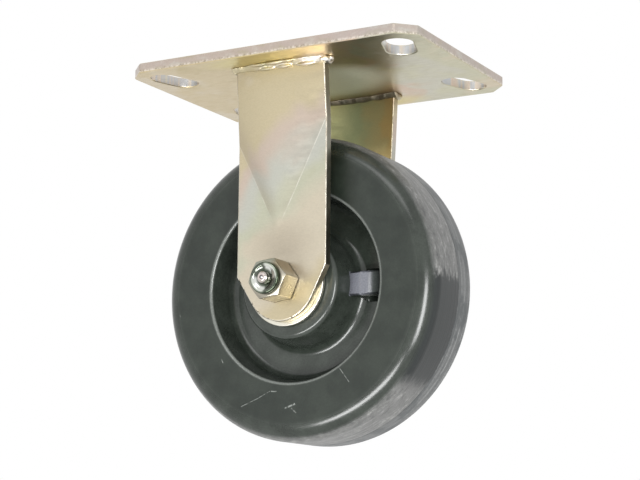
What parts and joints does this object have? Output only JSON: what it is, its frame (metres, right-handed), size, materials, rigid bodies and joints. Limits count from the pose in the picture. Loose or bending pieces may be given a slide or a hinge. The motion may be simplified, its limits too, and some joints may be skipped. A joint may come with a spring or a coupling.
{
  "type": "fixed castor",
  "caption": "Rigid plate castor: slotted top plate, welded bowed legs and a dark moulded wheel on a greased roller bearing.",
  "frame": {"origin": "centre of the top plate's upper mounting face", "axes": "+Z out of the mounting face, +X the rolling direction, +Y along the axle"},
  "size_m": [0.162, 0.1164, 0.1905],
  "materials": {
    "zinc_plate": "yellow zinc plating on sheared plate, satin",
    "zinc_leg": "yellow zinc plating on pressed sheet, satin",
    "weld": "rippled weld metal under yellow zinc plating",
    "zinc_bolt": "yellow zinc plating on cold-formed steel",
    "nipple_chrome": "polished, bright plated",
    "bearing_steel": "ground steel, lightly oiled",
    "bright_zinc": "bright zinc plated, turned edge",
    "nylon": "natural nylon",
    "cage_steel": "pressed steel, oiled",
    "phenolic": "glossy dark moulded phenolic with fine scuffs"
  },
  "bodies": {
    "bracket": {"top_plate": "zinc_plate", "near_leg": "zinc_leg", "far_leg": "zinc_leg", "near_weld": "weld", "far_weld": "weld", "axle_bolt": "zinc_bolt", "lock_nut": "zinc_bolt", "nut_insert": "nylon", "grease_nipple": "nipple_chrome", "nipple_spring": "bearing_steel", "spanner_bushing": "bearing_steel", "near_washer": "bright_zinc", "far_washer": "bright_zinc"},
    "wheel": {"wheel": "phenolic"},
    "cage": {"bearing_cage": "cage_steel"},
    "valve_ball": {"nipple_ball": "bearing_steel"},
    "roller_1": {"roller_1": "bearing_steel"},
    "roller_2": {"roller_2": "bearing_steel"},
    "roller_3": {"roller_3": "bearing_steel"},
    "roller_4": {"roller_4": "bearing_steel"},
    "roller_5": {"roller_5": "bearing_steel"},
    "roller_6": {"roller_6": "bearing_steel"},
    "roller_7": {"roller_7": "bearing_steel"},
    "roller_8": {"roller_8": "bearing_steel"}
  },
  "joints": [
    {"name": "wheel_spin", "type": "hinge", "parent": "bracket", "child": "wheel", "pos_m": [0, 0, -0.1143], "axis": [0, 1, 0], "continuous": true},
    {"name": "cage_spin", "type": "hinge", "parent": "bracket", "child": "cage", "pos_m": [0, 0, -0.1143], "axis": [0, 1, 0], "continuous": true},
    {"name": "nipple_ball_press", "type": "slide", "parent": "bracket", "child": "valve_ball", "axis": [0, 1, 0], "range_m": [0, 0.0008], "stiffness_N_per_m": 300, "deforming": ["nipple_spring"]},
    {"name": "roller_1_spin", "type": "hinge", "parent": "cage", "child": "roller_1", "pos_m": [0.0123, 0, -0.1143], "axis": [0, 1, 0], "continuous": true},
    {"name": "roller_2_spin", "type": "hinge", "parent": "cage", "child": "roller_2", "pos_m": [0.0087, 0, -0.1056], "axis": [0, 1, 0], "continuous": true},
    {"name": "roller_3_spin", "type": "hinge", "parent": "cage", "child": "roller_3", "pos_m": [0, 0, -0.102], "axis": [0, 1, 0], "continuous": true},
    {"name": "roller_4_spin", "type": "hinge", "parent": "cage", "child": "roller_4", "pos_m": [-0.0087, 0, -0.1056], "axis": [0, 1, 0], "continuous": true},
    {"name": "roller_5_spin", "type": "hinge", "parent": "cage", "child": "roller_5", "pos_m": [-0.0123, 0, -0.1143], "axis": [0, 1, 0], "continuous": true},
    {"name": "roller_6_spin", "type": "hinge", "parent": "cage", "child": "roller_6", "pos_m": [-0.0087, 0, -0.123], "axis": [0, 1, 0], "continuous": true},
    {"name": "roller_7_spin", "type": "hinge", "parent": "cage", "child": "roller_7", "pos_m": [0, 0, -0.1266], "axis": [0, 1, 0], "continuous": true},
    {"name": "roller_8_spin", "type": "hinge", "parent": "cage", "child": "roller_8", "pos_m": [0.0087, 0, -0.123], "axis": [0, 1, 0], "continuous": true}
  ],
  "couplings": [
    {"joint": "cage_spin", "follows": "wheel_spin", "ratio": 0.61296},
    {"joint": "roller_1_spin", "follows": "wheel_spin", "ratio": 2.1231},
    {"joint": "roller_2_spin", "follows": "wheel_spin", "ratio": 2.1231},
    {"joint": "roller_3_spin", "follows": "wheel_spin", "ratio": 2.1231},
    {"joint": "roller_4_spin", "follows": "wheel_spin", "ratio": 2.1231},
    {"joint": "roller_5_spin", "follows": "wheel_spin", "ratio": 2.1231},
    {"joint": "roller_6_spin", "follows": "wheel_spin", "ratio": 2.1231},
    {"joint": "roller_7_spin", "follows": "wheel_spin", "ratio": 2.1231},
    {"joint": "roller_8_spin", "follows": "wheel_spin", "ratio": 2.1231}
  ]
}
